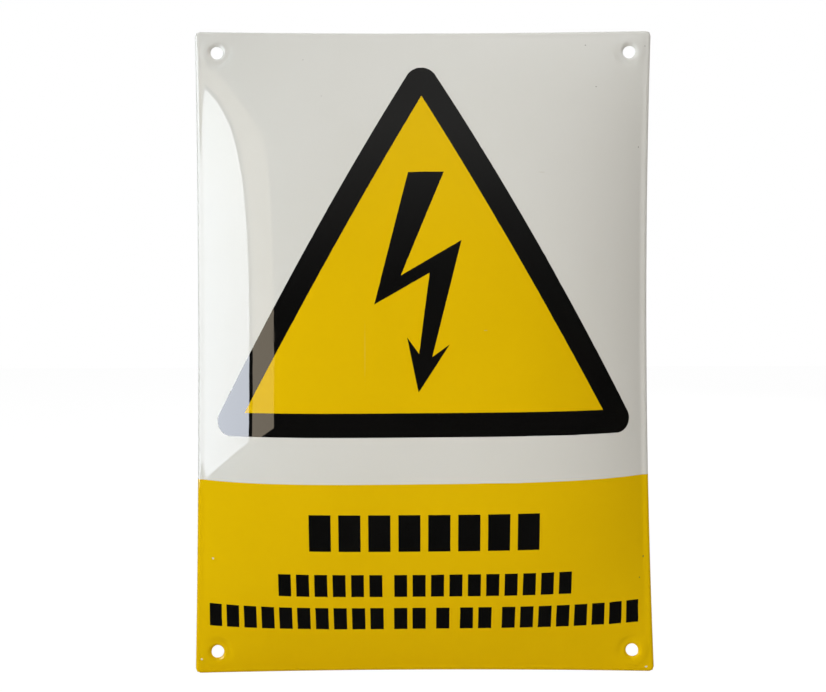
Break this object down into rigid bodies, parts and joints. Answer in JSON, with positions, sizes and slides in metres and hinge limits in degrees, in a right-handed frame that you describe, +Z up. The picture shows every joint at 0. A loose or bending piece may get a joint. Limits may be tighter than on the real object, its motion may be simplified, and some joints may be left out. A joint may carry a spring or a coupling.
{
  "type": "high voltage warning sign",
  "caption": "Upright domed enamelled-steel warning plate with a flat rim, a black-bordered yellow triangle with a lightning arrow, a yellow lower band and corner screw holes.",
  "frame": {"origin": "middle of the rectangle of screw holes, on the plane of the rim's flat back, which is the wall that the plate is screwed to", "axes": "+Z up the plate's height as it hangs, +X to the reader's right, -Y out of the printed face, +Y into the wall"},
  "size_m": [0.2119, 0.0165, 0.297],
  "materials": {
    "white_enamel": "glossy fired white enamel on steel",
    "yellow_enamel": "glossy fired signal-yellow enamel",
    "black_enamel": "glossy fired black enamel",
    "ground_enamel": "dark semi-gloss ground coat on the back"
  },
  "bodies": {
    "root": {"sign_plate": "white_enamel"}
  },
  "joints": []
}
